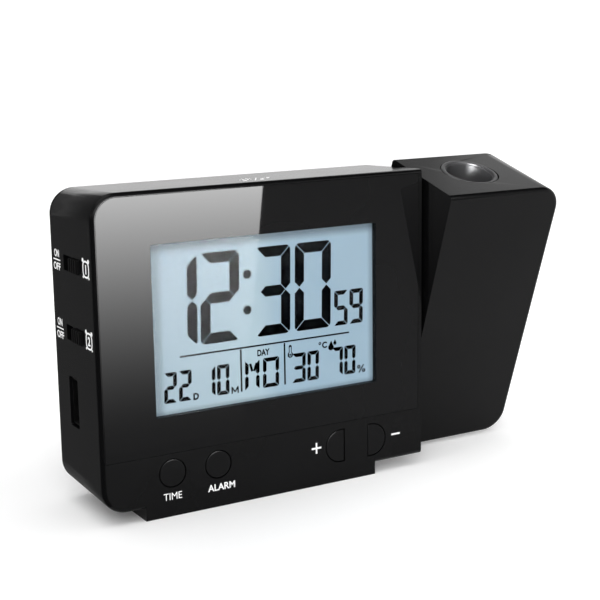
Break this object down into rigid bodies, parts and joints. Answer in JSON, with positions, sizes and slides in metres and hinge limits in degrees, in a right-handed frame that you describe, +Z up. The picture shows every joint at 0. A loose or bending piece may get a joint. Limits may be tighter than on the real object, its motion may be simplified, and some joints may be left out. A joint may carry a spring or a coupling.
{
  "type": "projection alarm clock",
  "caption": "Slim upright alarm clock: a wide glossy display face with a button strip on a flat foot, and a full-height projector arm that swivels on its end.",
  "frame": {"origin": "centre of the foot's flat underside", "axes": "+X from the case to the projector arm, the display faces -Y, +Z up"},
  "size_m": [0.1491, 0.0569, 0.0928],
  "materials": {
    "housing_black": "satin moulded black",
    "panel_gloss": "polished black",
    "window_clear": "clear polished",
    "lcd_display": "pale blue liquid-crystal display",
    "acrylic_clear": "frosted light guide",
    "inner_white": "moulded white",
    "lamp_yellow": "phosphor",
    "rubber_grey": "matt",
    "board_green": "solder resist",
    "chip_black": "moulded",
    "steel": "plated",
    "button_black": "fine matt",
    "slider_black": "matt",
    "cell_wrap": "plain wrap",
    "brass_plate": "foil",
    "bush_nylon": "natural",
    "ring_grey": "satin black",
    "lens_glass": "polished",
    "film": "dark liquid-crystal film",
    "marking_white": "white pad print",
    "lcd_ink": "dark segments"
  },
  "bodies": {
    "case": {"front_housing": "housing_black", "back_cover": "housing_black", "front_panel": "panel_gloss", "lcd_window": "window_clear", "lcd_glass": "lcd_display", "light_guide": "acrylic_clear", "lcd_frame": "inner_white", "backlight_leds": "lamp_yellow", "contact_strip": "rubber_grey", "main_board": "board_green", "controller_chip": "chip_black", "board_screws": "steel", "side_board": "board_green", "board_link": "chip_black", "button_switches": "steel", "slide_switches": "steel", "usb_shell": "steel", "usb_tongue": "inner_white", "dc_inlet": "chip_black", "battery_cells": "cell_wrap", "battery_plates": "steel", "battery_springs": "steel", "buzzer": "chip_black", "climate_sensor": "inner_white", "touch_plate": "brass_plate", "cover_screws": "steel", "pivot_bush": "bush_nylon", "lead_plug": "inner_white", "projector_lead": "rubber_grey"},
    "projector_arm": {"arm_housing": "housing_black", "arm_cover": "housing_black", "arm_screws": "steel", "spring_washer": "steel", "stop_disc": "steel", "circlip": "steel", "projector_barrel": "slider_black", "barrel_screws": "steel", "condenser_lens": "lens_glass", "image_film": "film", "lamp_board": "board_green", "projector_lamp": "lamp_yellow", "lead_socket": "inner_white"},
    "focus_dial": {"focus_ring": "ring_grey"},
    "lens_carrier": {"lens_cell": "slider_black", "projection_lens": "lens_glass"},
    "time_key": {"time_button": "button_black"},
    "alarm_key": {"alarm_button": "button_black"},
    "plus_key": {"plus_button": "button_black"},
    "minus_key": {"minus_button": "button_black"},
    "alarm1_switch": {"alarm1_slider": "slider_black"},
    "alarm2_switch": {"alarm2_slider": "slider_black"},
    "battery_lid": {"battery_door": "housing_black"}
  },
  "joints": [
    {"name": "arm_tilt", "type": "hinge", "parent": "case", "child": "projector_arm", "pos_m": [0.05475, 0.00085, 0.0475], "axis": [1, 0, 0], "range_deg": [-108.6, 71.4]},
    {"name": "lens_focus", "type": "slide", "parent": "projector_arm", "child": "lens_carrier", "axis": [0, -0.319, 0.9478], "range_m": [-0.0012, 0.0012]},
    {"name": "focus_turn", "type": "hinge", "parent": "projector_arm", "child": "focus_dial", "pos_m": [0.07465, -0.00949, 0.082], "axis": [0, -0.319, 0.9478], "range_deg": [-100, 100]},
    {"name": "time_press", "type": "slide", "parent": "case", "child": "time_key", "axis": [0, 1, 0], "range_m": [0, 0.0006], "stiffness_N_per_m": 900},
    {"name": "alarm_press", "type": "slide", "parent": "case", "child": "alarm_key", "axis": [0, 1, 0], "range_m": [0, 0.0006], "stiffness_N_per_m": 900},
    {"name": "plus_press", "type": "slide", "parent": "case", "child": "plus_key", "axis": [0, 1, 0], "range_m": [0, 0.0006], "stiffness_N_per_m": 900},
    {"name": "minus_press", "type": "slide", "parent": "case", "child": "minus_key", "axis": [0, 1, 0], "range_m": [0, 0.0006], "stiffness_N_per_m": 900},
    {"name": "alarm1_slide", "type": "slide", "parent": "case", "child": "alarm1_switch", "axis": [0, 1, 0], "range_m": [0, 0.005]},
    {"name": "alarm2_slide", "type": "slide", "parent": "case", "child": "alarm2_switch", "axis": [0, 1, 0], "range_m": [0, 0.005]},
    {"name": "battery_lid_open", "type": "hinge", "parent": "case", "child": "battery_lid", "pos_m": [0.00775, 0.01635, 0.0157], "axis": [-1, 0, 0], "range_deg": [0, 60]}
  ],
  "couplings": [
    {"joint": "focus_turn", "follows": "lens_focus", "rad_per_m": 1450}
  ]
}
